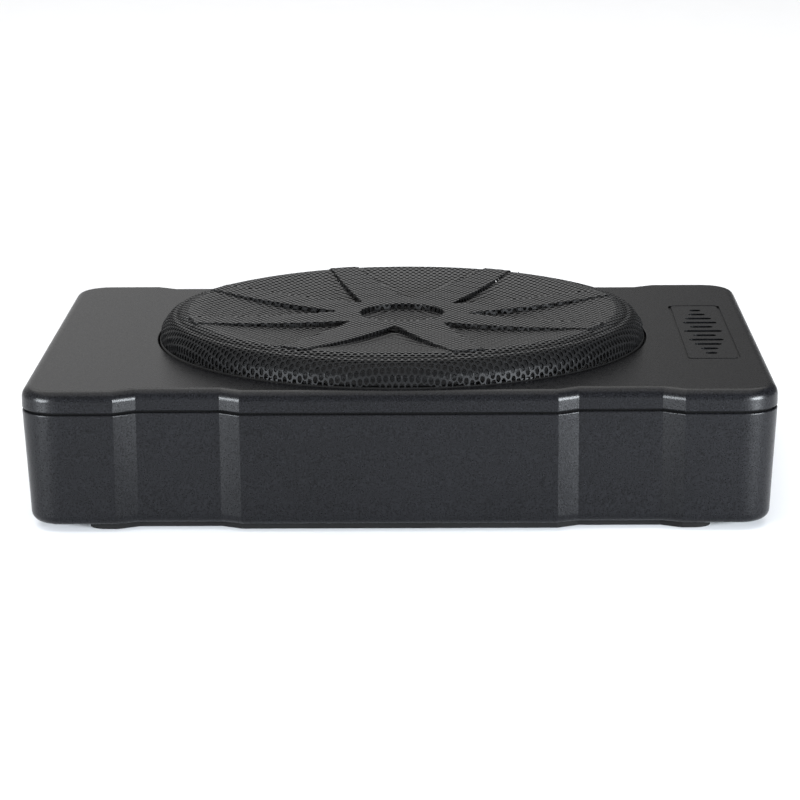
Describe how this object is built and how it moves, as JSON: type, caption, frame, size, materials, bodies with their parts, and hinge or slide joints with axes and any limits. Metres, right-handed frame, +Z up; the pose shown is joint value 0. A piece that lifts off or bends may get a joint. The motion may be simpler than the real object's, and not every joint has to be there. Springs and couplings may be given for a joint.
{
  "type": "powered car subwoofer",
  "caption": "Flat under-seat powered subwoofer: moulded enclosure with a perforated round grille, slim woofer, built-in amplifier and a rear control panel.",
  "frame": {"origin": "middle of the underside of the base plate", "axes": "+X to the right along the long side, +Z up; the front faces -Y and the connectors face +Y"},
  "size_m": [0.37, 0.266, 0.0862],
  "materials": {
    "shell_plastic": "fine satin grain, black",
    "base_black": "matt black",
    "gasket_rubber": "matt black foam rubber",
    "grille_steel": "satin black powder coat, perforated",
    "zinc": "bright zinc",
    "black_screw": "black oxide",
    "basket_black": "satin black",
    "surround_rubber": "satin black butyl rubber",
    "cone_black": "matt black injection-moulded cone",
    "cap_black": "satin black",
    "former": "thin aluminium",
    "copper": "enamelled copper",
    "spider_cloth": "resin-dipped yellow cloth",
    "zinc_plate": "zinc plated",
    "ferrite": "dark grey ferrite",
    "pad_rubber": "matt black",
    "terminal_tan": "tan fibre board",
    "wire_red": "red insulation",
    "wire_black": "black insulation",
    "board_green": "green solder mask",
    "spreader": "mill finish",
    "chip_black": "matt black epoxy",
    "ferrite_core": "ferrite core",
    "cap_sleeve": "dark blue sleeve",
    "panel_black": "matt black",
    "socket_white": "natural white nylon",
    "socket_black": "black nylon",
    "brass_pin": "tin brass",
    "rca_red": "red",
    "rca_white": "white",
    "nickel": "nickel plate",
    "knob_black": "matt black",
    "fuse_blue": "translucent blue",
    "led_lens": "clear light pipe",
    "felt": "grey wadding"
  },
  "bodies": {
    "enclosure": {"lower_shell": "shell_plastic", "top_cover": "shell_plastic", "cover_gasket": "gasket_rubber", "base_plate": "base_black", "base_plate_screws": "zinc", "cover_screws": "black_screw", "grille": "grille_steel", "grille_clips": "zinc", "woofer_gasket": "gasket_rubber", "woofer_basket": "basket_black", "woofer_screws": "black_screw", "top_plate": "zinc_plate", "motor_screws": "zinc", "magnet": "ferrite", "pole_yoke": "zinc_plate", "magnet_pad": "pad_rubber", "terminal_block": "terminal_tan", "surround": "surround_rubber", "spider": "spider_cloth", "control_panel": "panel_black", "panel_screws": "black_screw", "input_board": "board_green", "power_socket": "socket_white", "speaker_level_socket": "socket_white", "remote_jack": "socket_black", "fuse_holder": "socket_black", "power_pins": "brass_pin", "speaker_level_pins": "brass_pin", "fuse": "fuse_blue", "rca_left_insulator": "rca_white", "rca_right_insulator": "rca_red", "rca_barrels": "nickel", "potentiometers": "socket_black", "switch_bodies": "socket_black", "power_led": "led_lens", "amplifier_board": "board_green", "board_standoffs": "zinc", "board_screws": "zinc", "heat_spreader": "spreader", "power_transistors": "chip_black", "transistor_screws": "zinc", "toroid_core": "ferrite_core", "toroid_winding": "copper", "capacitors": "cap_sleeve", "output_inductors": "ferrite_core", "driver_chips": "chip_black", "cable_headers": "socket_white", "board_cable": "wire_black", "speaker_wire_red": "wire_red", "speaker_wire_black": "wire_black", "damping_felt": "felt"},
    "cone_body": {"cone": "cone_black", "dust_cap": "cap_black", "voice_coil_former": "former", "voice_coil": "copper"},
    "gain_body": {"gain_knob": "knob_black"},
    "lowpass_body": {"lowpass_knob": "knob_black"},
    "bass_body": {"bass_knob": "knob_black"},
    "phase_body": {"phase_switch": "knob_black"},
    "mode_body": {"mode_switch": "knob_black"}
  },
  "joints": [
    {"name": "cone_travel", "type": "slide", "parent": "enclosure", "child": "cone_body", "axis": [0, 0, 1], "range_m": [-0.006, 0.006], "stiffness_N_per_m": 3200, "deforming": ["surround", "spider"]},
    {"name": "gain_turn", "type": "hinge", "parent": "enclosure", "child": "gain_body", "pos_m": [0.008, 0.1222, 0.033], "axis": [0, 1, 0], "range_deg": [-140, 140]},
    {"name": "lowpass_turn", "type": "hinge", "parent": "enclosure", "child": "lowpass_body", "pos_m": [0.025, 0.1222, 0.033], "axis": [0, 1, 0], "range_deg": [-140, 140]},
    {"name": "bass_turn", "type": "hinge", "parent": "enclosure", "child": "bass_body", "pos_m": [0.042, 0.1222, 0.033], "axis": [0, 1, 0], "range_deg": [-140, 140]},
    {"name": "phase_slide", "type": "slide", "parent": "enclosure", "child": "phase_body", "axis": [1, 0, 0], "range_m": [0, 0.003]},
    {"name": "mode_slide", "type": "slide", "parent": "enclosure", "child": "mode_body", "axis": [1, 0, 0], "range_m": [0, 0.003]}
  ]
}
